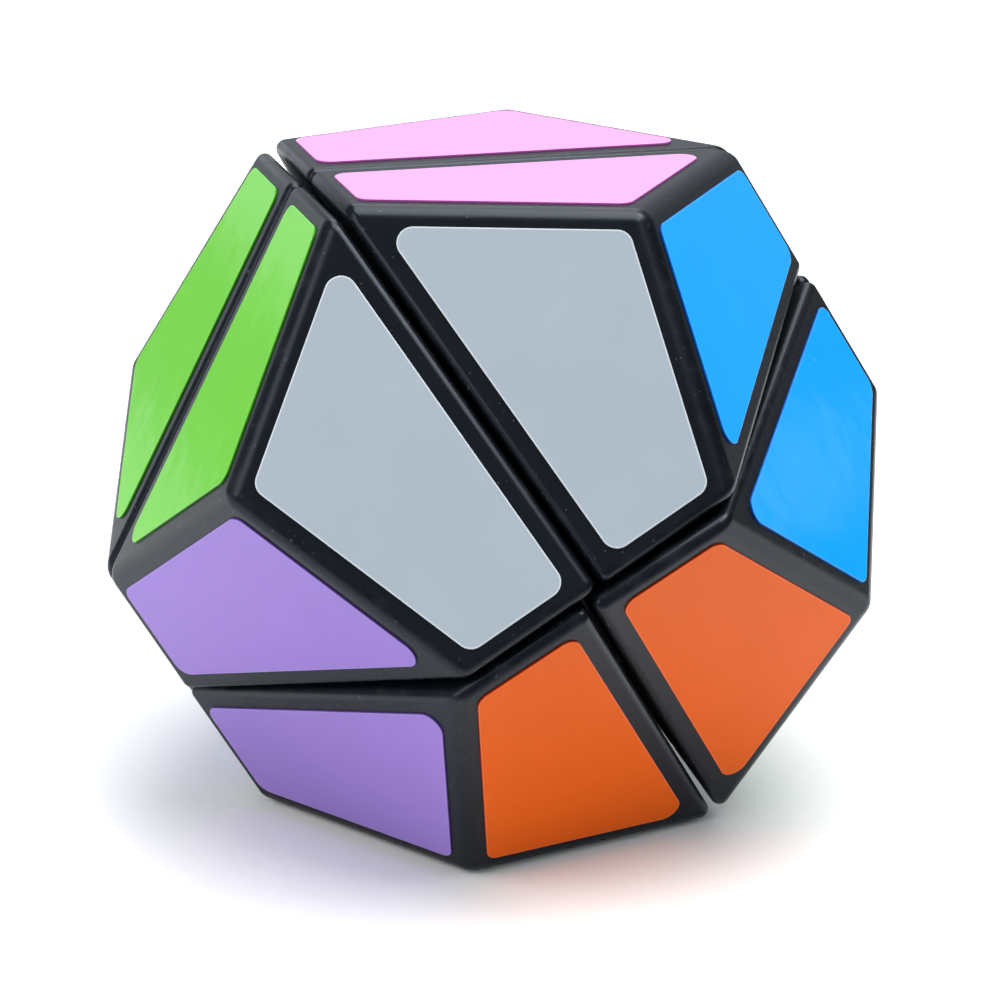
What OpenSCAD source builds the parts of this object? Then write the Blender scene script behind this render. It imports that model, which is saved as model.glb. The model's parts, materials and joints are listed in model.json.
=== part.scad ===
// Dodecahedron twisty puzzle
//
// A regular dodecahedron cut by three mutually perpendicular planes through its middle.
// Each of the eight corner pieces is a hollow shell on a foot, and the feet slide in a
// hidden mechanism of edges and spring-loaded centres round a ball core.
//
// Pieces are drawn in the mechanism's own frame: its centre is the origin and its three
// turning axes are X, Y and Z. settle() then tips that frame so that one face lies flat
// on the ground. The finished part is +Z up, with its origin below the puzzle's middle,
// on the ground.

/* [Puzzle] */
// Edge of the sharp-cornered dodecahedron
edge = 30; // [28:0.5:36]
// Angle that the upper half stands away from its lined-up place, in degrees
upper_turn = 3; // [-45:0.5:45]

/* [Shells] */
// Thickness behind the coloured faces
face_wall = 2.2; // [1.4:0.1:3]
// Thickness along the cut planes
cut_wall = 1.6; // [1:0.1:2.4]
// Gap between neighbouring shells across a cut plane
cut_gap = 0.6; // [0.3:0.1:1]
// Rounding of the ridges between two faces, cut here as a tangent flat
ridge_round = 2.2; // [0.6:0.1:2.5]
// Rounding of the lips along the cut planes, cut here as a tangent flat
lip_round = 1; // [0.5:0.1:1.5]
// Diameter of the foot's peg in each shell
peg_d = 5; // [4:0.1:6]

/* [Stickers] */
// Thickness of a sticker
sticker_t = 0.2; // [0.1:0.05:0.4]
// Corner radius of a sticker
sticker_corner = 1.6; // [1:0.1:3]
// Bare strip between a sticker and the ridge to the next face
ridge_margin = 2; // [1.6:0.05:3]
// Bare strip between a sticker and the cut across its own face
cut_margin = 2.6; // [2:0.05:3.5]
// Bare strip between a sticker and the edge that lies in a cut plane
end_margin = 2.8; // [2.4:0.05:4]

/* [Mechanism] */
// Radius of the ball that the shells slide on
slide_r = 23; // [21:0.5:23.5]
// Radius at which the feet hook behind the edges and centres
hook_r = 16; // [15:0.5:17]
// Radius of the core's ball
core_r = 8.5; // [8:0.25:9]
// Height of the core's six posts above the centre
post_top = 9.5; // [9.2:0.1:10]
// Diameter of a post
post_d = 7.4; // [6.5:0.1:7.6]
// Half-width of the slots between the heads
head_half = 6.5; // [6:0.25:7]
// Half-width of the slots between the hooks
stem_half = 4; // [3.9:0.05:4.2]
// Clearance from each sliding surface to the ideal one
slack = 0.15; // [0.1:0.05:0.25]

/* [Fasteners] */
// Screw diameter
screw_d = 3; // [2.5:0.1:3.2]
// Screw head diameter
screw_head_d = 5.6; // [5:0.1:5.8]
// Screw head height
screw_head_h = 1.8; // [1.4:0.1:2.2]
// Washer diameter
washer_d = 6; // [5.6:0.1:6.2]
// Washer thickness
washer_t = 0.5; // [0.3:0.1:0.6]
// Diameter of the pocket for spring, washer and screw head in a centre
pocket_d = 6.4; // [6.3:0.1:6.8]
// Height of the pocket's floor above the puzzle's middle
pocket_floor = 13; // [12:0.5:14]
// Fitted length of a spring
spring_len = 6; // [5:0.25:6.5]
// Outer diameter of a spring
spring_d = 5.4; // [5:0.1:5.8]
// Spring wire diameter
wire_d = 0.6; // [0.4:0.05:0.8]
// Number of turns of a spring
spring_turns = 4; // [3:1:5]

/* [Hidden] */
$fn = 64;
golden = (1 + sqrt(5)) / 2;
tilt = atan(1 / golden);                    // from a turning axis to the nearest face's normal
dihedral = 2 * atan(golden);                // between two faces
face_r = edge * golden ^ 2 / (2 * sqrt(3 - golden));     // middle to a face
ridge_r = edge * golden ^ 2 / 2;            // middle to an edge's midpoint
corner_r = edge * golden * sqrt(3) / 2;     // middle to a corner
face_corner_r = edge / (2 * sin(36));       // face's middle to its corners
apothem = edge / (2 * tan(36));             // face's middle to its edges
half_gap = cut_gap / 2;
run_r = slide_r + slack;                    // hollow ball inside the shells and feet
plate_t = 2;                                // thickness of a foot's curved plate
plate_fit = 0.1;                            // between a plate and the shell round it
boss_d = peg_d + 3.2;
boss_r = run_r + plate_t + 2;               // where the boss in a shell begins
boss_roof = 2.6;                            // plastic left over the peg's hole
peg_fit = 0.04;
screw_fit = 0.02;
screw_hole_fit = 0.4;
screw_tip = 4;                              // how near to the middle a screw reaches
hole_floor = 3.4;                           // and its hole in the core
spring_fit = 0.05;
wire_sides = 6;
wire_steps = 10;                            // rings in one turn of a spring
arc_steps = 8;                              // straight pieces in a sticker's round corner
reach = 100;                                // larger than anything here

black = [0.06, 0.06, 0.07];
core_white = [0.86, 0.86, 0.83];
steel = [0.72, 0.73, 0.75];

// Shades of the stickers, by name
SHADES = [
    ["pink", [0.99, 0.77, 1.00]],
    ["light_green", [0.47, 0.85, 0.32]],
    ["grey", [0.69, 0.74, 0.78]],
    ["purple", [0.64, 0.53, 0.83]],
    ["orange", [0.88, 0.38, 0.14]],
    ["sky_blue", [0.15, 0.67, 0.98]],
    ["cream", [0.96, 0.93, 0.72]],
    ["dark_green", [0.04, 0.46, 0.22]],
    ["yellow", [0.98, 0.84, 0.10]],
    ["dark_blue", [0.10, 0.20, 0.62]],
    ["red", [0.80, 0.08, 0.10]],
    ["white", [0.95, 0.95, 0.95]],
];
function shade(name) = [for (s = SHADES) if (s[0] == name) s[1]][0];

// Sticker colour of each face. The three families are the faces across the planes
// Y = 0, Z = 0 and X = 0, and each holds one face for every pair of signs.
FACE_NAMES = [
    [["cream", "dark_green"], ["light_green", "pink"]],
    [["purple", "sky_blue"], ["dark_blue", "yellow"]],
    [["orange", "grey"], ["white", "red"]],
];
HALF_NAMES = [["front", "back"], ["lower", "upper"], ["left", "right"]];

// A corner is its three signs along the turning axes.
CORNERS = [for (z = [1, -1], y = [-1, 1], x = [-1, 1]) [x, y, z]];
FAMILIES = [0, 1, 2];

function pick(pair, sign) = pair[sign > 0 ? 1 : 0];
function corner_name(c) =
    str(pick(["lower", "upper"], c.z), "_", pick(["front", "back"], c.y), "_",
        pick(["left", "right"], c.x));
function face_name(c, family) =
    family == 0 ? pick(pick(FACE_NAMES[0], c.z), c.x)
    : family == 1 ? pick(pick(FACE_NAMES[1], c.y), c.x)
    : pick(pick(FACE_NAMES[2], c.y), c.z);
function half_name(c, family) =
    pick(HALF_NAMES[family], [c.y, c.z, c.x][family]);
function cap_node(c) = str("cap_", corner_name(c));
function foot_node(c) = str("foot_", corner_name(c));
function sticker_node(c, family) =
    str("sticker_", face_name(c, family), "_", half_name(c, family));

// ---- Placing ----------------------------------------------------------------------

// Stands the mechanism's frame on one face; the upper half is turned about its axis.
module settle(half = 0) {
    translate([0, 0, face_r + sticker_t])
        rotate([0, -tilt, 0])
            rotate([0, 0, half > 0 ? upper_turn : 0])
                children();
}

// Mirrors a piece drawn in the (+, +, +) corner into the corner c.
module to_corner(c) {
    mirror([c.x < 0 ? 1 : 0, 0, 0])
        mirror([0, c.y < 0 ? 1 : 0, 0])
            mirror([0, 0, c.z < 0 ? 1 : 0])
                children();
}

// Turns a feature of the first family into the family's place round the corner.
module to_family(family) {
    rotate(a = 120 * family, v = [1, 1, 1]) children();
}

// Face frame: +Z out of the face, +X from the face's middle to its cut corner.
module on_face(family) {
    to_family(family) rotate([0, tilt, 0]) children();
}

// Aims +Z down from the vertical by polar, towards the compass angle azimuth.
module aim(polar, azimuth) {
    rotate([0, polar, azimuth]) children();
}

// Along a corner's own diagonal.
module on_diagonal() {
    aim(atan(sqrt(2)), 45) children();
}

// The four places round the Z axis.
module four_round() {
    for (turn = [0:90:270]) rotate([0, 0, turn]) children();
}

// The six turning axes, from a piece drawn along +Z.
module six_axes() {
    children();
    rotate([180, 0, 0]) children();
    four_round() rotate([0, 90, 0]) children();
}

// ---- Solids that cut --------------------------------------------------------------

// Everything below z = top.
module below(top) {
    translate([-reach, -reach, top - 2 * reach]) cube(2 * reach);
}

// Everything with x, y and z above start.
module beyond(start) {
    translate([start, start, start]) cube(reach);
}

// A slot of this half-width across X, open towards +Y and +Z from start.
module slot(half_width, start) {
    translate([-half_width, start, start]) cube([2 * half_width, reach, reach]);
}

module ball_shell(inner, outer) {
    difference() {
        sphere(outer);
        sphere(inner);
    }
}

// ---- Shells -----------------------------------------------------------------------

// How far in from a sharp edge a flat stands that is tangent to its rounding, where
// the surface turns by the angle turn.
function flat_depth(radius, turn) = radius * (1 / cos(turn / 2) - 1);

// A sharp corner piece: three faces and three cut planes.
module corner_block(face_inset, cut_inset) {
    intersection() {
        beyond(cut_inset);
        intersection_for(family = FAMILIES) on_face(family) below(face_r - face_inset);
    }
}

// Flats over the three ridges, and over the corner where they meet.
module ridge_flats() {
    intersection() {
        intersection_for(family = FAMILIES)
            to_family(family)
                aim(36, 90 - tilt)
                    below(ridge_r - flat_depth(ridge_round, 180 - dihedral));
        on_diagonal() below(corner_r - ridge_round * (corner_r / face_r - 1));
    }
}

// Flats over the lips between the faces and the cut planes.
module face_lip_flats() {
    end_x = (half_gap - face_r * sin(tilt)) / cos(tilt);
    end_turn = 90 + tilt;
    intersection_for(family = FAMILIES)
        on_face(family)
            intersection() {
                translate([0, half_gap, face_r])
                    rotate([45, 0, 0])
                        below(-flat_depth(lip_round, 90));
                translate([end_x, 0, face_r])
                    rotate([0, -end_turn / 2, 0])
                        below(-flat_depth(lip_round, end_turn));
            }
}

// Flats over the edges where two cut planes meet.
module axis_lip_flats() {
    intersection_for(family = FAMILIES)
        to_family(family)
            aim(90, 225)
                below(-half_gap * sqrt(2) - flat_depth(lip_round, 90));
}

module cap_outside() {
    intersection() {
        corner_block(0, half_gap);
        ridge_flats();
        face_lip_flats();
        axis_lip_flats();
    }
}

// Hollow corner shell, open towards the middle, with a boss for the foot's peg.
module cap(c) {
    boss_top = corner_r - ridge_round;
    color(black)
        settle(c.z)
            to_corner(c)
                difference() {
                    cap_outside();
                    difference() {
                        corner_block(face_wall, half_gap + cut_wall);
                        on_diagonal()
                            translate([0, 0, boss_r])
                                cylinder(d = boss_d, h = boss_top - boss_r);
                    }
                    sphere(run_r);
                    on_diagonal() cylinder(d = peg_d, h = boss_top - boss_roof);
                }
}

// Curved plate that closes a shell, its peg, and the foot that holds the corner in.
module foot(c) {
    plate_start = half_gap + cut_wall + plate_fit;
    color(black)
        settle(c.z)
            to_corner(c) {
                intersection() {
                    beyond(plate_start);
                    ball_shell(run_r, run_r + plate_t);
                }
                intersection() {
                    beyond(head_half + slack);
                    ball_shell(core_r + slack, run_r + plate_t / 2);
                }
                intersection() {
                    beyond(stem_half + slack);
                    ball_shell(core_r + slack, hook_r - slack);
                }
                on_diagonal()
                    translate([0, 0, run_r + plate_t / 2])
                        cylinder(d = peg_d - 2 * peg_fit,
                                 h = corner_r - ridge_round - boss_roof - run_r - plate_t);
            }
}

// ---- Stickers ---------------------------------------------------------------------

function unit(v) = v / norm(v);
function inward(from, to) = unit([from.y - to.y, to.x - from.x]);

// Where the line from a towards b crosses the line from c towards d.
function crossing(a, b, c, d) =
    a + (b - a) * cross(c - a, d - c) / cross(b - a, d - c);

// An outline with each side moved inwards by its own margin.
function inset(outline, margins) = [
    for (i = [0:len(outline) - 1])
        let (
            n = len(outline),
            before = outline[(i + n - 1) % n],
            here = outline[i],
            after = outline[(i + 1) % n],
            in_before = inward(before, here) * margins[(i + n - 1) % n],
            in_after = inward(here, after) * margins[i]
        )
        crossing(before + in_before, here + in_before, here + in_after, after + in_after)
];

// An outline, drawn anticlockwise, with round corners.
function rounded(outline, radius) = [
    for (i = [0:len(outline) - 1])
        let (
            n = len(outline),
            here = outline[i],
            to_before = unit(outline[(i + n - 1) % n] - here),
            to_after = unit(outline[(i + 1) % n] - here),
            half = acos(to_before * to_after) / 2,
            centre = here + unit(to_before + to_after) * radius / sin(half),
            first = atan2(-to_before.x, to_before.y) + 180,
            sweep = 180 - 2 * half
        )
        for (step = [0:arc_steps])
            let (angle = first + sweep * step / arc_steps)
            centre + radius * [cos(angle), sin(angle)]
];

// Half a face, from its cut corner round to the middle of its cut edge.
function half_face() = concat(
    [for (angle = [0, 72, 144]) face_corner_r * [cos(angle), sin(angle)]],
    [[-apothem, 0]]
);

module sticker(c, family) {
    margins = [ridge_margin, ridge_margin, end_margin, cut_margin];
    color(shade(face_name(c, family)))
        settle(c.z)
            to_corner(c)
                on_face(family)
                    translate([0, 0, face_r])
                        linear_extrude(sticker_t)
                            polygon(rounded(inset(half_face(), margins), sticker_corner));
}

// ---- Mechanism --------------------------------------------------------------------

// Ball core with a drilled post on each turning axis.
module core() {
    color(core_white)
        settle()
            difference() {
                union() {
                    sphere(core_r);
                    six_axes() cylinder(d = post_d, h = post_top);
                }
                six_axes()
                    translate([0, 0, hole_floor])
                        cylinder(d = screw_d + 2 * screw_fit, h = post_top);
            }
}

// Hidden edge between the +Y and +Z axes: its head fills the slot between two feet,
// and its hook reaches under the centres.
module edge_piece() {
    intersection() {
        slot(head_half - slack, head_half + slack);
        ball_shell(hook_r + slack, slide_r - slack);
    }
    intersection() {
        slot(stem_half - slack, head_half + slack);
        ball_shell(core_r + slack, (hook_r + slide_r) / 2);
    }
    intersection() {
        slot(stem_half - slack, stem_half + slack);
        ball_shell(core_r + slack, hook_r - slack);
    }
}

module upper_edges() {
    color(black) settle(1) four_round() edge_piece();
}

module middle_edges() {
    color(black) settle() four_round() rotate([0, 90, 0]) edge_piece();
}

module lower_edges() {
    color(black) settle() mirror([0, 0, 1]) four_round() edge_piece();
}

// Centre on the +Z axis: square head, square stem down to the core's post, and a round
// pocket for the spring over a hole for the screw.
module centre_piece() {
    head_w = 2 * (head_half - slack);
    stem_w = 2 * (stem_half - slack);
    stem_foot = post_top + slack;
    difference() {
        union() {
            intersection() {
                translate([-head_w / 2, -head_w / 2, head_half]) cube([head_w, head_w, reach]);
                ball_shell(hook_r + slack, slide_r - slack);
            }
            translate([-stem_w / 2, -stem_w / 2, stem_foot])
                cube([stem_w, stem_w, hook_r + 1 - stem_foot]);
        }
        cylinder(d = screw_d + screw_hole_fit, h = reach);
        translate([0, 0, pocket_floor]) cylinder(d = pocket_d, h = reach);
    }
}

module upper_centre() {
    color(black) settle(1) centre_piece();
}

module side_centres() {
    color(black) settle() four_round() rotate([0, 90, 0]) centre_piece();
}

module lower_centre() {
    color(black) settle() mirror([0, 0, 1]) centre_piece();
}

// ---- Fasteners --------------------------------------------------------------------

function washer_bottom() = pocket_floor + spring_len + 2 * spring_fit;
function head_bottom() = washer_bottom() + washer_t;

// Pan-head screw with a cross recess.
module screw() {
    recess_w = 0.8;
    recess_depth = 1;
    head_top = head_bottom() + screw_head_h;
    crown = 0.5;
    difference() {
        union() {
            translate([0, 0, screw_tip]) cylinder(d = screw_d, h = head_bottom() - screw_tip);
            rotate_extrude()
                polygon([
                    [0, head_bottom()],
                    [screw_head_d / 2, head_bottom()],
                    [screw_head_d / 2, head_top - crown],
                    [screw_head_d / 2 - crown, head_top],
                    [0, head_top],
                ]);
        }
        for (turn = [0, 90])
            rotate([0, 0, turn])
                translate([-screw_head_d / 4, -recess_w / 2, head_top - recess_depth])
                    cube([screw_head_d / 2, recess_w, reach]);
    }
}

module screws() {
    color(steel) settle() six_axes() screw();
}

module washers() {
    color(steel)
        settle()
            six_axes()
                translate([0, 0, washer_bottom()])
                    difference() {
                        cylinder(d = washer_d, h = washer_t);
                        translate([0, 0, -1])
                            cylinder(d = screw_d + screw_hole_fit, h = washer_t + 2);
                    }
}

// Points of a coil's wire: rings of a many-sided wire along a helix.
function coil_points() =
    let (
        coil_r = (spring_d - wire_d) / 2,
        rings = spring_turns * wire_steps,
        rise = (spring_len - wire_d) / rings
    )
    [
        for (ring = [0:rings], side = [0:wire_sides - 1])
            let (
                turn = 360 * ring / wire_steps,
                around = 360 * side / wire_sides,
                out = coil_r + wire_d / 2 * cos(around)
            )
            [out * cos(turn), out * sin(turn),
             wire_d / 2 + rise * ring + wire_d / 2 * sin(around)]
    ];

function coil_faces() =
    let (rings = spring_turns * wire_steps, last = rings * wire_sides)
    concat(
        [[for (side = [0:wire_sides - 1]) side]],
        [
            for (ring = [0:rings - 1], side = [0:wire_sides - 1])
                let (
                    here = ring * wire_sides + side,
                    beside = ring * wire_sides + (side + 1) % wire_sides
                )
                [here, here + wire_sides, beside + wire_sides, beside]
        ],
        [[for (side = [wire_sides - 1:-1:0]) last + side]]
    );

module springs() {
    color(steel)
        settle()
            six_axes()
                translate([0, 0, pocket_floor + spring_fit])
                    polyhedron(coil_points(), coil_faces());
}

// ---- The assembly -----------------------------------------------------------------

core();
screws();
springs();
washers();
upper_centre();
side_centres();
lower_centre();
upper_edges();
middle_edges();
lower_edges();
for (c = CORNERS) {
    cap(c);
    foot(c);
    for (family = FAMILIES)
        sticker(c, family);
}
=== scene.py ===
"""Dodecahedron twisty puzzle: the visual model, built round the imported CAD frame.

Shapes are worked out in millimetres in the mechanism's own frame, where the three
turning axes are X, Y and Z, and settled() then puts them where the CAD has them.
"""
import itertools
import json
import math

import bpy
import numpy as np
from mathutils import Matrix, Vector

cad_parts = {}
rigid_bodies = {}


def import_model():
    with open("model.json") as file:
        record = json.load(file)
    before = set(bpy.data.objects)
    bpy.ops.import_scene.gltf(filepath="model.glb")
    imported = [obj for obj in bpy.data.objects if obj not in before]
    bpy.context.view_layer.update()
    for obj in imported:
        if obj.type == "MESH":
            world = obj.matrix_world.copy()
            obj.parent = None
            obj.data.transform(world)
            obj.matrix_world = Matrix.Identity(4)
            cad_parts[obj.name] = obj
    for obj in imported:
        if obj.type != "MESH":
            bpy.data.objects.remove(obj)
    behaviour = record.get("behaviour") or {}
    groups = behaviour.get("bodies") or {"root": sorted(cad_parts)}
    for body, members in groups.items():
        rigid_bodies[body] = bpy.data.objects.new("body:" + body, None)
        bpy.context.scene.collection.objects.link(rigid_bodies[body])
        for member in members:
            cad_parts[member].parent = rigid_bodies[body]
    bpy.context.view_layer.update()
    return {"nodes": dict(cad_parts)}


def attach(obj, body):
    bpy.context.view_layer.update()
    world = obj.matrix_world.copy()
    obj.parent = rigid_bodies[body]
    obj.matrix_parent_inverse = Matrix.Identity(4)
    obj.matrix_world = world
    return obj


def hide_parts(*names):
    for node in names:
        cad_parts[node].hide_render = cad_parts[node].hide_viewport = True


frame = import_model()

# ---- Sizes in millimetres, as in the CAD -------------------------------------------

GOLDEN = (1 + math.sqrt(5)) / 2
TILT = math.atan(1 / GOLDEN)
UPPER_TURN = math.radians(3)
EDGE = 30
FACE_R = EDGE * GOLDEN**2 / (2 * math.sqrt(3 - GOLDEN))
CORNER_R = EDGE * GOLDEN * math.sqrt(3) / 2
FACE_CORNER_R = EDGE / (2 * math.sin(math.radians(36)))
APOTHEM = EDGE / (2 * math.tan(math.radians(36)))
HALF_GAP = 0.3
RUN_R = 23.15
FACE_WALL = 2.2
CUT_WALL = 1.6
RIDGE_ROUND = 2.2
LIP_ROUND = 1
PEG_D = 5
BOSS_D = 8.2
BOSS_R = 27.15
BOSS_ROOF = 2.6
STICKER_T = 0.2
STICKER_CORNER = 1.6
RIDGE_MARGIN = 2
END_MARGIN = 2.8
CUT_MARGIN = 2.6

MM = 0.001
CENTRE = Vector((0, 0, (FACE_R + STICKER_T) * MM))
FACE_NORMALS = np.array(
    [
        [math.sin(TILT), 0, math.cos(TILT)],
        [math.cos(TILT), math.sin(TILT), 0],
        [0, math.cos(TILT), math.sin(TILT)],
    ]
)

# Colour of each face, for the faces across Y = 0, Z = 0 and X = 0, by its two signs.
FACE_NAMES = [
    {(1, 1): "pink", (-1, 1): "light_green", (-1, -1): "cream", (1, -1): "dark_green"},
    {(-1, -1): "purple", (1, -1): "sky_blue", (-1, 1): "dark_blue", (1, 1): "yellow"},
    {(-1, 1): "grey", (-1, -1): "orange", (1, 1): "red", (1, -1): "white"},
]
HALF_NAMES = [{-1: "front", 1: "back"}, {-1: "lower", 1: "upper"}, {-1: "left", 1: "right"}]
CORNERS = list(itertools.product((-1, 1), repeat=3))


def half_of(corner):
    return "upper" if corner[2] > 0 else "lower"


def settled(corner):
    """The matrix from a (+, +, +) octant drawing in millimetres to that corner's place."""
    turn = UPPER_TURN if corner[2] > 0 else 0
    return (
        Matrix.Translation(CENTRE)
        @ Matrix.Rotation(-TILT, 4, "Y")
        @ Matrix.Rotation(turn, 4, "Z")
        @ Matrix.Diagonal((*(MM * sign for sign in corner), 1))
    )


# ---- Meshes ------------------------------------------------------------------------


def new_object(name, points, faces):
    mesh = bpy.data.meshes.new(name)
    mesh.from_pydata([tuple(p) for p in points], [], faces)
    mesh.validate()
    thing = bpy.data.objects.new(name, mesh)
    bpy.context.scene.collection.objects.link(thing)
    return thing


def with_modifiers(thing):
    """The thing's mesh with its modifiers applied; the thing itself is removed."""
    depsgraph = bpy.context.evaluated_depsgraph_get()
    mesh = bpy.data.meshes.new_from_object(thing.evaluated_get(depsgraph))
    bpy.data.objects.remove(thing)
    return mesh


def coordinates(mesh):
    flat = np.empty(len(mesh.vertices) * 3)
    mesh.vertices.foreach_get("co", flat)
    return flat.reshape(-1, 3)


def unit_rows(vectors):
    lengths = np.linalg.norm(vectors, axis=1, keepdims=True)
    return vectors / np.maximum(lengths, 1e-12)


# ---- The rounded corner shell ------------------------------------------------------


def meeting(planes):
    """The point where three planes (normal, distance) meet."""
    return np.linalg.solve([n for n, _ in planes], [d for _, d in planes])


def block(name, face_level, cut_level):
    """A sharp corner piece as an object: three faces and three cut planes."""
    faces = [(n, face_level) for n in FACE_NORMALS]
    cuts = [(n, cut_level) for n in np.eye(3)]
    planes = faces + cuts
    # Each corner point, as the three planes that meet there.
    corner_planes = [
        (0, 1, 2), (0, 1, 4), (1, 2, 5), (0, 2, 3),
        (0, 3, 4), (1, 4, 5), (2, 3, 5), (3, 4, 5),
    ]
    points = np.array([meeting([planes[i] for i in three]) for three in corner_planes])
    polygons = []
    for index, (normal, _) in enumerate(planes):
        outward = normal if index < 3 else -normal
        ring = [k for k, three in enumerate(corner_planes) if index in three]
        middle = points[ring].mean(axis=0)
        across = points[ring[0]] - middle
        along = np.cross(outward, across)
        ring.sort(
            key=lambda k: math.atan2(
                (points[k] - middle) @ along, (points[k] - middle) @ across
            )
        )
        polygons.append(ring)
    return new_object(name, points, polygons)


def onto_cone(points, level):
    """The nearest points that lie under all three face planes at this level."""
    nearest = points.copy()
    done = (points @ FACE_NORMALS.T <= level).all(axis=1)
    slack = 1e-9
    for count in (1, 2, 3):
        for active in itertools.combinations(range(3), count):
            normals = FACE_NORMALS[list(active)]
            push = (points @ normals.T - level) @ np.linalg.inv(normals @ normals.T)
            moved = points - push @ normals
            fits = (push >= -slack).all(axis=1)
            fits &= (moved @ FACE_NORMALS.T <= level + slack).all(axis=1)
            fits &= ~done
            nearest[fits] = moved[fits]
            done |= fits
    return nearest


def onto_kernel(points):
    """The nearest points of the solid that a ball of LIP_ROUND grows into the shell."""
    grow = RIDGE_ROUND - LIP_ROUND
    here = points.copy()
    keep_round = np.zeros_like(points)
    keep_cut = np.zeros_like(points)
    rounds = 300
    for _ in range(rounds):
        start = here + keep_round
        cone = onto_cone(start, FACE_R - RIDGE_ROUND)
        off = start - cone
        far = np.linalg.norm(off, axis=1, keepdims=True)
        rounded = np.where(far > grow, cone + off * grow / np.maximum(far, 1e-12), start)
        keep_round = start - rounded
        start = rounded + keep_cut
        here = np.maximum(start, HALF_GAP + LIP_ROUND)
        keep_cut = start - here
    return here


def rounded_shell():
    """The shell's mesh, and each loop's exact normal, in the (+, +, +) octant."""
    outside = block("outside", FACE_R, HALF_GAP)
    mesh = outside.data
    weights = mesh.attributes.new("bevel_weight_edge", "FLOAT", "EDGE")
    widest = 2.0
    touching = 1e-3
    for edge in mesh.edges:
        ends = [np.array(mesh.vertices[v].co) for v in edge.vertices]
        normals = [
            n for n in FACE_NORMALS if all(abs(n @ p - FACE_R) < touching for p in ends)
        ]
        cuts = [-n for n in np.eye(3) if all(abs(n @ p - HALF_GAP) < touching for p in ends)]
        first, second = normals + cuts
        turn = math.acos(first @ second)
        radius = RIDGE_ROUND if len(normals) == 2 else LIP_ROUND
        weights.data[edge.index].value = radius * math.tan(turn / 2) / widest
    bevel = outside.modifiers.new("round", "BEVEL")
    bevel.limit_method = "WEIGHT"
    bevel.width = widest
    bevel.segments = 8
    bevel.use_clamp_overlap = False
    smooth = with_modifiers(outside)

    points = coordinates(smooth)
    inner = onto_kernel(points)
    points = inner + LIP_ROUND * unit_rows(points - inner)
    shell = new_object("shell", points, [list(p.vertices) for p in smooth.polygons])

    boss = cylinder("boss", BOSS_D / 2, BOSS_R, CORNER_R)
    hollow = block("hollow", FACE_R - FACE_WALL, HALF_GAP + CUT_WALL)
    subtract(hollow, boss)
    peg = cylinder("peg", PEG_D / 2, 0, CORNER_R - RIDGE_ROUND - BOSS_ROOF)
    for cutter in (hollow, ball("run", RUN_R), peg):
        subtract(shell, cutter)
    mesh = with_modifiers(shell)
    return mesh, exact_normals(mesh)


def subtract(thing, cutter):
    """Cuts the cutter out of the thing, and removes the cutter."""
    bool_cut = thing.modifiers.new("cut", "BOOLEAN")
    bool_cut.operation = "DIFFERENCE"
    bool_cut.solver = "MANIFOLD"
    bool_cut.object = cutter
    depsgraph = bpy.context.evaluated_depsgraph_get()
    mesh = bpy.data.meshes.new_from_object(thing.evaluated_get(depsgraph))
    thing.modifiers.clear()
    thing.data = mesh
    bpy.data.objects.remove(cutter)


def ball(name, radius, around=128, rings=64):
    points = [(0, 0, radius)]
    for ring in range(1, rings):
        polar = math.pi * ring / rings
        for step in range(around):
            turn = 2 * math.pi * step / around
            points.append(
                (
                    radius * math.sin(polar) * math.cos(turn),
                    radius * math.sin(polar) * math.sin(turn),
                    radius * math.cos(polar),
                )
            )
    points.append((0, 0, -radius))
    last = len(points) - 1
    faces = []
    for step in range(around):
        after = (step + 1) % around
        faces.append((0, 1 + step, 1 + after))
        for ring in range(rings - 2):
            a, b = 1 + ring * around, 1 + (ring + 1) * around
            faces.append((a + step, b + step, b + after, a + after))
        start = 1 + (rings - 2) * around
        faces.append((last, start + after, start + step))
    return new_object(name, points, faces)


def cylinder(name, radius, bottom, top, around=48):
    """A cylinder along the octant's diagonal."""
    turn = Vector((0, 0, 1)).rotation_difference(Vector((1, 1, 1))).to_matrix()
    points = [
        turn @ Vector((radius * math.cos(a), radius * math.sin(a), height))
        for height in (bottom, top)
        for a in (2 * math.pi * step / around for step in range(around))
    ]
    faces = [
        (k, (k + 1) % around, around + (k + 1) % around, around + k) for k in range(around)
    ]
    faces += [tuple(reversed(range(around))), tuple(range(around, 2 * around))]
    return new_object(name, points, faces)


def exact_normals(mesh):
    """One normal per loop: smooth on the rounded outside and in the ball, flat elsewhere."""
    agrees = 0.9
    points = coordinates(mesh)
    inner = onto_kernel(points)
    outward = unit_rows(points - inner)
    outside = np.abs(np.linalg.norm(points - inner, axis=1) - LIP_ROUND) < 0.01
    in_ball = np.abs(np.linalg.norm(points, axis=1) - RUN_R) < 0.02
    normals = np.empty((len(mesh.loops), 3))
    for polygon in mesh.polygons:
        corners = np.array(polygon.vertices)
        flat = np.array(polygon.normal)
        loops = list(polygon.loop_indices)
        normals[loops] = flat
        from_middle = unit_rows(points[corners])
        if outside[corners].all() and (outward[corners] @ flat > agrees).all():
            normals[loops] = outward[corners]
        elif in_ball[corners].all() and flat @ from_middle.mean(axis=0) < -agrees:
            normals[loops] = -from_middle
    return normals


def lip_amounts(points):
    """How far round a lip or ridge each point lies: 0 on the flats, 1 where most bent."""
    fully_bent = 20
    inner = onto_kernel(points)
    gap = points - inner
    outward = unit_rows(gap)
    planes = np.vstack([FACE_NORMALS, -np.eye(3)])
    nearest = np.clip((outward @ planes.T).max(axis=1), -1, 1)
    bent = np.degrees(np.arccos(nearest)) / fully_bent
    inside = np.linalg.norm(gap, axis=1) > LIP_ROUND * 1.02
    return np.where(inside, 0, np.clip(bent, 0, 1))


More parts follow.
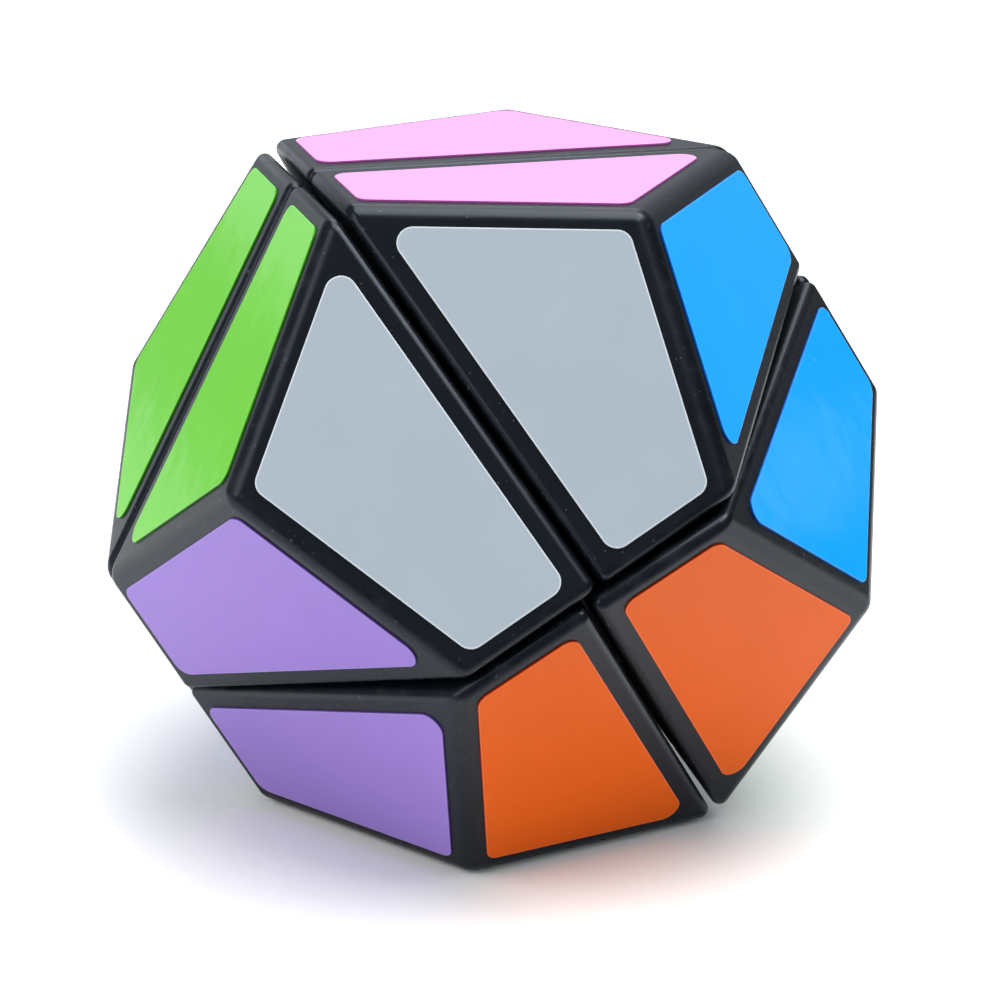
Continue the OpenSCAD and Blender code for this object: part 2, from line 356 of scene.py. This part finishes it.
def wall_amounts(points):
    """1 on the walls that face another piece, 0 on the outside, blended over the lips."""
    outward = unit_rows(points - onto_kernel(points))
    return np.clip((-outward).max(axis=1) * 4 - 3, 0, 1)


def placed(name, points, faces, normals, corner, **values):
    """A mesh drawn in the octant, put in its corner, with its normals and point values."""
    matrix = settled(corner)
    flipped = corner[0] * corner[1] * corner[2] < 0
    thing = new_object(name, [matrix @ Vector(p) for p in points], faces)
    mesh = thing.data
    if flipped:
        mesh.flip_normals()
    turn = np.array(matrix.to_3x3() * (1 / MM))
    loop_normals = unit_rows(normals @ turn.T)
    if flipped:
        # Blender turns each loop round but keeps its first corner.
        order = []
        for polygon in mesh.polygons:
            loops = list(polygon.loop_indices)
            order += [loops[0]] + loops[:0:-1]
        loop_normals = loop_normals[order]
    mesh.polygons.foreach_set("use_smooth", [True] * len(mesh.polygons))
    mesh.normals_split_custom_set(loop_normals.tolist())
    for title, value in values.items():
        mark = mesh.attributes.new(title, "FLOAT", "POINT")
        mark.data.foreach_set("value", np.asarray(value, dtype=np.float32))
    return thing


# ---- Stickers ----------------------------------------------------------------------


def cross2(a, b):
    return a[0] * b[1] - a[1] * b[0]


def unit2(v):
    return v / np.linalg.norm(v)


def inset(outline, margins):
    """An anticlockwise outline with each side moved inwards by its own margin."""
    result = []
    for i, here in enumerate(outline):
        before, after = outline[i - 1], outline[(i + 1) % len(outline)]
        side_a, side_b = here - before, after - here
        in_a = unit2(np.array([-side_a[1], side_a[0]])) * margins[i - 1]
        in_b = unit2(np.array([-side_b[1], side_b[0]])) * margins[i]
        start_a, start_b = before + in_a, here + in_b
        step = cross2(start_b - start_a, side_b) / cross2(side_a, side_b)
        result.append(start_a + side_a * step)
    return result


def rounded(outline, radius, steps=14):
    """(points, outward directions) of an outline with round corners."""
    points, outward = [], []
    for i, here in enumerate(outline):
        to_before = unit2(outline[i - 1] - here)
        to_after = unit2(outline[(i + 1) % len(outline)] - here)
        half = math.acos(to_before @ to_after) / 2
        centre = here + unit2(to_before + to_after) * radius / math.sin(half)
        first = math.atan2(-to_before[0], to_before[1]) + math.pi
        sweep = math.pi - 2 * half
        for step in range(steps + 1):
            angle = first + sweep * step / steps
            way = np.array([math.cos(angle), math.sin(angle)])
            points.append(centre + radius * way)
            outward.append(way)
    return np.array(points), np.array(outward)


def half_face():
    corners = [math.radians(a) for a in (0, 72, 144)]
    outline = [FACE_CORNER_R * np.array([math.cos(a), math.sin(a)]) for a in corners]
    return outline + [np.array([-APOTHEM, 0])]


def film(thick=STICKER_T - 0.01, edge_round=0.08, sink=0.03, backing_and_highlight_line=0.09, steps=3):
    """A sticker with a rounded edge: points, faces, loop normals and rim values.

    It is a hair thinner than the CAD's, so that it stays inside the CAD's box.
    """
    margins = [RIDGE_MARGIN, RIDGE_MARGIN, END_MARGIN, CUT_MARGIN]
    outline, outward = rounded(inset(half_face(), margins), STICKER_CORNER)
    # Each ring: how far in from the outline, its height, its normal's tilt, its rim value.
    rings = [(0, -sink, 0, 1), (0, thick - edge_round, 0, 1)]
    for k in range(1, steps + 1):
        tip = math.pi / 2 * k / steps
        rings.append(
            (
                edge_round * (1 - math.cos(tip)),
                thick - edge_round * (1 - math.sin(tip)),
                tip,
                1 - 0.5 * k / steps,
            )
        )
    # Out to here runs the line that vinyl() paints lighter: a painted highlight on most
    # stickers, the white backing on PALE_EDGES stickers.
    rings.append((edge_round + backing_and_highlight_line, thick, math.pi / 2, 0))
    count = len(outline)
    points, ways, values = [], [], []
    for inwards, height, tip, value in rings:
        for p, way in zip(outline, outward):
            points.append((*(p - way * inwards), FACE_R + height))
            ways.append((*(way * math.cos(tip)), math.sin(tip)))
            values.append(value)
    faces = []
    for ring in range(len(rings) - 1):
        a, b = ring * count, (ring + 1) * count
        for k in range(count):
            after = (k + 1) % count
            faces.append((a + k, a + after, b + after, b + k))
    top = (len(rings) - 1) * count
    faces.append(tuple(range(top, top + count)))
    normals = [ways[v] for face in faces for v in face]
    faces.append(tuple(reversed(range(count))))
    normals += [(0, 0, -1)] * count
    return np.array(points), faces, np.array(normals), values


def onto_family(points, family):
    """From the face's own frame to the octant: +Z out of the face, +X to its cut corner."""
    c, s = math.cos(TILT), math.sin(TILT)
    turned = points @ np.array([[c, 0, s], [0, 1, 0], [-s, 0, c]]).T
    return np.roll(turned, family, axis=1)


# ---- Materials ---------------------------------------------------------------------


class Tree:
    """A material's node tree, with short calls to add nodes."""

    def __init__(self, name):
        self.material = bpy.data.materials.new(name)
        self.material.use_nodes = True
        self.nodes = self.material.node_tree.nodes
        self.nodes.clear()
        self.shader = self.add("ShaderNodeBsdfPrincipled")
        output = self.nodes.new("ShaderNodeOutputMaterial")
        self.link(self.shader.outputs["BSDF"], output.inputs["Surface"])
        self.place = self.add("ShaderNodeTexCoord").outputs["Object"]

    def link(self, source, target):
        self.material.node_tree.links.new(source, target)

    def add(self, kind, inputs=None, **settings):
        node = self.nodes.new(kind)
        for key, value in settings.items():
            setattr(node, key, value)
        for key, value in (inputs or {}).items():
            if isinstance(value, bpy.types.NodeSocket):
                self.link(value, node.inputs[key])
            else:
                node.inputs[key].default_value = value
        return node

    def noise(self, size_mm, detail=2.0, roughness=0.5, place=None):
        """Noise whose patches are about this size."""
        node = self.add(
            "ShaderNodeTexNoise",
            {
                "Vector": place or self.place,
                "Scale": 1 / (size_mm * MM),
                "Detail": detail,
                "Roughness": roughness,
            },
        )
        return node.outputs["Fac"]

    def ramp(self, value, low, high, start=0.0, end=1.0):
        """value from low to high becomes start to end, held at both ends."""
        node = self.add(
            "ShaderNodeMapRange",
            {"Value": value, "From Min": low, "From Max": high, "To Min": start, "To Max": end},
            clamp=True,
        )
        return node.outputs["Result"]

    def math(self, operation, a, b=0.0):
        node = self.add("ShaderNodeMath", operation=operation)
        for socket, value in zip(node.inputs, (a, b)):
            if isinstance(value, bpy.types.NodeSocket):
                self.link(value, socket)
            else:
                socket.default_value = value
        return node.outputs["Value"]

    def mix(self, factor, first, second):
        """Colours mixed by factor."""
        node = self.add("ShaderNodeMix", {"Factor": factor}, data_type="RGBA")
        for socket, value in ((node.inputs[6], first), (node.inputs[7], second)):
            if isinstance(value, bpy.types.NodeSocket):
                self.link(value, socket)
            else:
                socket.default_value = (*value, 1)
        return node.outputs[2]

    def marked(self, title):
        """A point value that placed() wrote on the mesh."""
        return self.add("ShaderNodeAttribute", attribute_name=title).outputs["Fac"]

    def bump(self, height, depth_mm, under=None):
        inputs = {"Height": height, "Distance": depth_mm * MM, "Strength": 1.0}
        if under is not None:
            inputs["Normal"] = under
        return self.add("ShaderNodeBump", inputs).outputs["Normal"]

    def finish(self, **sockets):
        """Sets the shader's sockets: names with underscores for spaces."""
        for key, value in sockets.items():
            socket = self.shader.inputs[key.replace("_", " ")]
            if isinstance(value, bpy.types.NodeSocket):
                self.link(value, socket)
            elif socket.type == "RGBA":
                socket.default_value = (*value, 1)
            else:
                socket.default_value = value
        return self.material


def linear(red, green, blue):
    """A screen colour, 0 to 255, as the linear colour that shaders use."""
    def one(v):
        v /= 255
        return v / 12.92 if v <= 0.04045 else ((v + 0.055) / 1.055) ** 2.4
    return tuple(one(v) for v in (red, green, blue))


def specks(tree, size_mm, share, fall):
    """1 on a few round dust specks, 0 elsewhere: share is the part of the cells with one."""
    cells = tree.add(
        "ShaderNodeTexVoronoi", {"Vector": tree.place, "Scale": 1 / (size_mm * MM)}
    )
    chosen = tree.math("GREATER_THAN", channel(tree, cells.outputs["Color"], 0), 1 - share)
    reach = tree.math("MULTIPLY", channel(tree, cells.outputs["Color"], 1), fall)
    near = tree.math("LESS_THAN", cells.outputs["Distance"], reach)
    return tree.math("MULTIPLY", chosen, near)


def channel(tree, colour, index):
    return tree.add("ShaderNodeSeparateColor", {"Color": colour}).outputs[index]


# The faint blue of the black plastic's gloss.
SHEEN = (0.75, 0.84, 1.0)


def shell_plastic():
    """Moulded satin black: fine grain, softly uneven, with dust, and nicks on the lips."""
    tree = Tree("shell_black_plastic")
    rim = tree.marked("rim")
    wall = tree.marked("wall")
    waves = tree.noise(9.0, detail=1.0)
    cloud = tree.noise(4.0, detail=4.0, roughness=0.6)
    grain = tree.noise(0.22, detail=3.0, roughness=0.6)
    rub = tree.math("MULTIPLY", tree.ramp(tree.noise(2.6, detail=3.0), 0.5, 0.8), rim)
    nicks = tree.math("MULTIPLY", tree.ramp(tree.noise(0.55, detail=2.0), 0.68, 0.76), rim)
    large, small = specks(tree, 1.5, 0.08, 0.07), specks(tree, 0.4, 0.12, 0.14)
    dust = tree.math("MAXIMUM", large, small)
    rubbed, dusty = linear(96, 98, 104), linear(150, 152, 158)
    base = tree.mix(cloud, linear(5, 8, 12), linear(10, 14, 19))
    base = tree.mix(tree.math("MULTIPLY", rub, 0.05), base, rubbed)
    base = tree.mix(tree.math("MULTIPLY", nicks, 0.12), base, dusty)
    base = tree.mix(tree.math("MULTIPLY", dust, 0.4), base, dusty)
    rough = tree.ramp(cloud, 0, 1, 0.22, 0.34)
    rough = tree.math("ADD", rough, tree.math("MULTIPLY", rub, 0.1))
    rough = tree.math("ADD", rough, tree.math("MULTIPLY", wall, 0.15))
    outer = tree.math("SUBTRACT", 1.0, wall)
    normal = tree.bump(tree.math("MULTIPLY", waves, outer), 0.02)
    normal = tree.bump(tree.math("MULTIPLY", grain, outer), 0.003, normal)
    raised = tree.math("ADD", dust, tree.math("MULTIPLY", nicks, 0.5))
    normal = tree.bump(raised, 0.005, normal)
    return tree.finish(
        Base_Color=base, Roughness=rough, Normal=normal, IOR=1.36, Specular_Tint=SHEEN
    )


def inner_plastic():
    """The same plastic inside, unpolished and lightly greased."""
    tree = Tree("inner_black_plastic")
    cloud = tree.noise(2.5, detail=4.0, roughness=0.6)
    grain = tree.noise(0.3, detail=3.0)
    grease = tree.ramp(tree.noise(5.0, detail=2.0), 0.45, 0.6)
    base = tree.mix(cloud, linear(20, 21, 23), linear(34, 35, 38))
    rough = tree.ramp(grease, 0, 1, 0.55, 0.3)
    normal = tree.bump(grain, 0.008)
    return tree.finish(Base_Color=base, Roughness=rough, Normal=normal, IOR=1.5)


def core_plastic():
    tree = Tree("core_plastic")
    cloud = tree.noise(3.0, detail=4.0)
    base = tree.mix(cloud, linear(214, 212, 200), linear(232, 230, 220))
    rough = tree.ramp(cloud, 0.3, 0.7, 0.4, 0.55)
    normal = tree.bump(tree.noise(0.4, detail=3.0), 0.006)
    return tree.finish(
        Base_Color=base, Roughness=rough, Normal=normal, Subsurface_Weight=0.05
    )


def steel(name, shade, low, high):
    tree = Tree(name)
    cloud = tree.noise(1.2, detail=4.0)
    base = tree.mix(cloud, linear(*(v - 14 for v in shade)), linear(*shade))
    rough = tree.ramp(cloud, 0.3, 0.7, low, high)
    normal = tree.bump(tree.noise(0.15, detail=2.0), 0.003)
    return tree.finish(Base_Color=base, Roughness=rough, Normal=normal, Metallic=1.0)


# Base colour of each vinyl, as screen values from 0 to 255.
VINYL = {
    "pink": (201, 130, 192),
    "light_green": (91, 166, 44),
    "grey": (135, 143, 150),
    "purple": (134, 107, 178),
    "orange": (211, 86, 0),
    "sky_blue": (2, 135, 210),
    "cream": (212, 204, 162),
    "dark_green": (11, 104, 53),
    "yellow": (204, 175, 28),
    "dark_blue": (25, 48, 138),
    "red": (180, 23, 30),
    "white": (204, 206, 208),
}

# Stickers whose cut edge shows the white backing. On the others the cut edge is painted: a
# lighter line along its top is a painted highlight, and its darker side wall is painted shade.
PALE_EDGES = ("grey", "cream", "white")
UNEVEN = 0.035


def vinyl(name, shade):
    """Printed vinyl film: slightly uneven gloss, faint ripples, and a cut edge of white backing
    on PALE_EDGES stickers; on the others, a painted highlight along the edge's top and painted
    shade on its side wall.
    """
    tree = Tree("vinyl_" + name)
    colour = linear(*shade)
    cloud = tree.noise(7.0, detail=3.0)
    darker = tuple(v * (1 - UNEVEN) for v in colour)
    lighter = tuple(min(v * (1 + UNEVEN), 1) for v in colour)
    base = tree.mix(cloud, darker, lighter)
    rim = tree.marked("rim")
    # The side wall: painted shade, darker than the film, on most stickers; the white backing on
    # PALE_EDGES stickers.
    wall = tree.ramp(rim, 0.5, 0.85)
    # A line along the top of the edge's round: a painted highlight, lighter than the film, on
    # most stickers; the white backing on PALE_EDGES stickers.
    backing_and_highlight_line = tree.math("MULTIPLY", tree.ramp(rim, 0, 0.4), tree.ramp(rim, 0.5, 0.7, 1, 0))
    backing = name in PALE_EDGES
    backing_and_highlight_colour = tuple(0.5 * v + 0.45 if backing else 0.85 * v + 0.12 for v in colour)
    backing_and_shade_colour = backing_and_highlight_colour if backing else tuple(0.7 * v**2 for v in colour)
    base = tree.mix(tree.math("MULTIPLY", backing_and_highlight_line, 0.5), base, backing_and_highlight_colour)
    base = tree.mix(tree.math("MULTIPLY", wall, 0.8), base, backing_and_shade_colour)
    dust = specks(tree, 1.4, 0.08, 0.06)
    base = tree.mix(tree.math("MULTIPLY", dust, 0.35), base, (0.8, 0.8, 0.8))
    rough = tree.ramp(cloud, 0, 1, 0.05, 0.1)
    drawn = tree.add("ShaderNodeMapping", {"Vector": tree.place, "Scale": (1, 1, 0.08)})
    streaks = tree.noise(0.7, detail=3.0, place=drawn.outputs["Vector"])
    normal = tree.bump(tree.noise(5.0, detail=1.0), 0.025)
    normal = tree.bump(streaks, 0.004, normal)
    strongest = max(colour)
    tint = tuple(0.1 + 0.9 * v / strongest for v in colour)
    return tree.finish(
        Base_Color=base, Roughness=rough, Normal=normal, IOR=1.34, Specular_Tint=tint
    )


# ---- Pieces ------------------------------------------------------------------------


def dress(thing, material):
    thing.data.materials.clear()
    thing.data.materials.append(material)


def repaint(name, material):
    """Gives a CAD node this material in every slot it has."""
    node = frame["nodes"][name]
    for part in [node, *node.children_recursive]:
        for slot in part.material_slots:
            slot.material = material


shell_mesh, shell_normals = rounded_shell()
shell_points = coordinates(shell_mesh)
shell_faces = [list(p.vertices) for p in shell_mesh.polygons]
shell_rims = lip_amounts(shell_points)
shell_walls = wall_amounts(shell_points)
shell_look = shell_plastic()
film_points, film_faces, film_normals, film_rims = film()
vinyl_looks = {name: vinyl(name, shade) for name, shade in VINYL.items()}

for corner in CORNERS:
    body = half_of(corner) + "_half"
    place = "_".join(HALF_NAMES[k][corner[a]] for k, a in ((1, 2), (0, 1), (2, 0)))
    shell = placed(
        "shell_" + place, shell_points, shell_faces, shell_normals, corner,
        rim=shell_rims, wall=shell_walls,
    )
    dress(shell, shell_look)
    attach(shell, body)
    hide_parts("cap_" + place)
    for family in range(3):
        across = (1, 2, 0)[family]
        signs = tuple(corner[a] for a in ((0, 2), (0, 1), (1, 2))[family])
        colour = FACE_NAMES[family][signs]
        title = colour + "_" + HALF_NAMES[family][corner[across]]
        sticker = placed(
            "film_" + title,
            onto_family(film_points, family),
            film_faces,
            onto_family(film_normals, family),
            corner,
            rim=film_rims,
        )
        dress(sticker, vinyl_looks[colour])
        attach(sticker, body)
        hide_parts("sticker_" + title)

inner_look = inner_plastic()
for name in frame["nodes"]:
    if name.startswith("foot_") or name.endswith(("_edges", "_centre", "_centres")):
        repaint(name, inner_look)
repaint("core", core_plastic())
repaint("screws", steel("screw_steel", (196, 198, 202), 0.25, 0.4))
repaint("springs", steel("spring_steel", (170, 172, 178), 0.3, 0.45))
repaint("washers", steel("washer_steel", (206, 208, 210), 0.2, 0.35))

# ---- Studio ------------------------------------------------------------------------


def floor(radius=0.6, fade=0.3, front=0.055, front_fade=0.07, mirror_shadow_from=0.028, mirror_shadow_to=0.046):
    """A round sheet of white paper that fades out at its edge, and close by in front. In the
    gloss alone it carries a painted shadow, darkest close to the object.
    """
    steps = 64
    mirror_shadow_darkest, mirror_shadow_faintest = 0.45, 0.7
    rim = [2 * math.pi * k / steps for k in range(steps)]
    points = [(radius * math.cos(a), radius * math.sin(a), 0) for a in rim]
    thing = new_object("floor", points, [tuple(range(steps))])
    tree = Tree("floor_paper")
    fibres = tree.noise(1.5, detail=4.0)
    base = tree.mix(fibres, (0.68, 0.67, 0.66), (0.71, 0.7, 0.69))
    out = tree.add("ShaderNodeVectorMath", {0: tree.place}, operation="LENGTH")
    # The lower faces mirror the floor. Only in their gloss is it dim: a painted shadow, darkest
    # close by.
    mirrored = tree.add("ShaderNodeLightPath").outputs["Is Glossy Ray"]
    painted_mirror_shadow = tree.ramp(out.outputs["Value"], mirror_shadow_from, mirror_shadow_to, mirror_shadow_darkest, mirror_shadow_faintest)
    base = tree.mix(mirrored, base, painted_mirror_shadow)
    cover = tree.ramp(out.outputs["Value"], radius - fade, radius, 1, 0)
    depth = tree.add("ShaderNodeSeparateXYZ", {"Vector": tree.place}).outputs["Y"]
    near = tree.ramp(depth, -front - front_fade, -front, 0, 1)
    cover = tree.math("MULTIPLY", cover, near)
    dress(
        thing,
        tree.finish(Base_Color=base, Roughness=0.6, Specular_IOR_Level=0.2, Alpha=cover),
    )


def softbox(name, place, size, power, mirrored=True):
    """A rectangular light aimed at the object; gloss may be left out of its reach."""
    light = bpy.data.lights.new(name, "AREA")
    light.shape = "RECTANGLE"
    light.size, light.size_y = size
    light.energy = power
    thing = bpy.data.objects.new(name, light)
    thing.location = place
    thing.rotation_mode = "QUATERNION"
    thing.rotation_quaternion = (CENTRE - Vector(place)).to_track_quat("-Z", "Y")
    thing.visible_glossy = mirrored
    bpy.context.scene.collection.objects.link(thing)


# The room's light, as the object sees it and, last, as the camera sees it.
ROOM_GLOW = 0.1
TENT_GLOW = 0.55
BACKDROP_GLOW = 1.3
# Soft bright patches of the room: a direction, the degrees from it at which the patch ends
# and at which it is full, and its strength.
PATCHES = [
    ((0, -0.95, 0.2), 66, 26, 0.25),
    ((0.25, 0.93, 0.3), 53, 21, 0.5),
    ((-0.36, 0.93, 0.0), 28, 12, 0.6),
    ((-1, 0.15, 0.25), 60, 18, 0.2),
    ((0.88, 0.473, 0.052), 1.1, 0.3, 0.8),
]
# The far edge of the table, a dark line under the horizon behind on the left.
TABLE_PATCH = ((-0.36, 0.93, -0.03), 28, 12, 0.7)
TABLE_BOTTOM = (-0.052, -0.042)
TABLE_TOP = (-0.003, -0.01)


def world():
    """White for the camera; for the object, a dim room, a little brighter behind."""
    scene = bpy.context.scene
    scene.world = bpy.data.worlds.new("studio")
    scene.world.use_nodes = True
    nodes, links = scene.world.node_tree.nodes, scene.world.node_tree.links
    nodes.clear()
    seen = nodes.new("ShaderNodeLightPath")
    way = nodes.new("ShaderNodeTexCoord").outputs["Generated"]

    def sums(operation, *terms):
        node = nodes.new("ShaderNodeMath")
        node.operation = operation
        for socket, term in zip(node.inputs, terms):
            if isinstance(term, bpy.types.NodeSocket):
                links.new(term, socket)
            else:
                socket.default_value = term
        return node.outputs["Value"]

    def smooth(value, low, high, amount=1.0):
        node = nodes.new("ShaderNodeMapRange")
        node.interpolation_type = "SMOOTHSTEP"
        node.inputs["From Min"].default_value = low
        node.inputs["From Max"].default_value = high
        node.inputs["To Max"].default_value = amount
        links.new(value, node.inputs["Value"])
        return node.outputs["Result"]

    def patch(toward, reach, core, amount=1.0):
        """A soft round patch: full up to core degrees from a direction, nothing past reach."""
        near = nodes.new("ShaderNodeVectorMath")
        near.operation = "DOT_PRODUCT"
        near.inputs[1].default_value = Vector(toward).normalized()
        links.new(way, near.inputs[0])
        edges = [math.cos(math.radians(a)) for a in (reach, core)]
        return smooth(near.outputs["Value"], *edges, amount)

    room = ROOM_GLOW
    for one in PATCHES:
        room = sums("ADD", room, patch(*one))
    up = nodes.new("ShaderNodeSeparateXYZ")
    links.new(way, up.inputs[0])
    height = up.outputs["Z"]
    edge = sums("MULTIPLY", smooth(height, *TABLE_BOTTOM), smooth(height, *TABLE_TOP))
    edge = sums("MULTIPLY", edge, patch(*TABLE_PATCH))
    room = sums("MULTIPLY", room, sums("SUBTRACT", 1.0, edge))
    # Matt surfaces also get light from all round, as from the walls of a light tent.
    tent = sums("MULTIPLY_ADD", seen.outputs["Is Diffuse Ray"], TENT_GLOW, room)
    strength = nodes.new("ShaderNodeMix")
    links.new(seen.outputs["Is Camera Ray"], strength.inputs[0])
    links.new(tent, strength.inputs[2])
    strength.inputs[3].default_value = BACKDROP_GLOW
    background = nodes.new("ShaderNodeBackground")
    background.inputs["Color"].default_value = (0.86, 0.94, 1, 1)
    links.new(strength.outputs[0], background.inputs["Strength"])
    output = nodes.new("ShaderNodeOutputWorld")
    links.new(background.outputs[0], output.inputs[0])


def camera(azimuth=-13.36, elevation=18.84, roll=0.79, distance=448.1, lens=156.7):
    """Looks down at the puzzle from in front; angles in degrees, distance in millimetres."""
    aim_right, aim_up = 0.45, -2.35
    data = bpy.data.cameras.new("camera")
    data.sensor_width = 36
    data.lens = lens
    data.clip_start, data.clip_end = 0.01, 20
    turn = (
        Matrix.Rotation(math.radians(azimuth), 3, "Z")
        @ Matrix.Rotation(math.radians(90 - elevation), 3, "X")
        @ Matrix.Rotation(math.radians(roll), 3, "Z")
    )
    place = CENTRE + turn @ Vector((aim_right, aim_up, distance)) * MM
    thing = bpy.data.objects.new("camera", data)
    thing.matrix_world = Matrix.Translation(place) @ turn.to_4x4()
    bpy.context.scene.collection.objects.link(thing)
    bpy.context.scene.camera = thing


floor()
world()
camera()
softbox("top", (0.13, -0.1, 0.95), (0.75, 0.88), 14)
softbox("key", (0.36, -0.06, 0.95), (0.3, 0.3), 1.4)
softbox("behind", (0.2, 0.71, 0.95), (0.6, 0.65), 3.3)
softbox("left", (-0.9, -0.42, 0.52), (0.5, 0.85), 4.2)
softbox("fill_left", (-1.0, 0.1, 0.6), (0.8, 0.8), 5.5, mirrored=False)
softbox("fill_right", (1.0, -0.3, 0.5), (0.8, 0.8), 1.5, mirrored=False)
bpy.context.scene.view_settings.view_transform = "Standard"
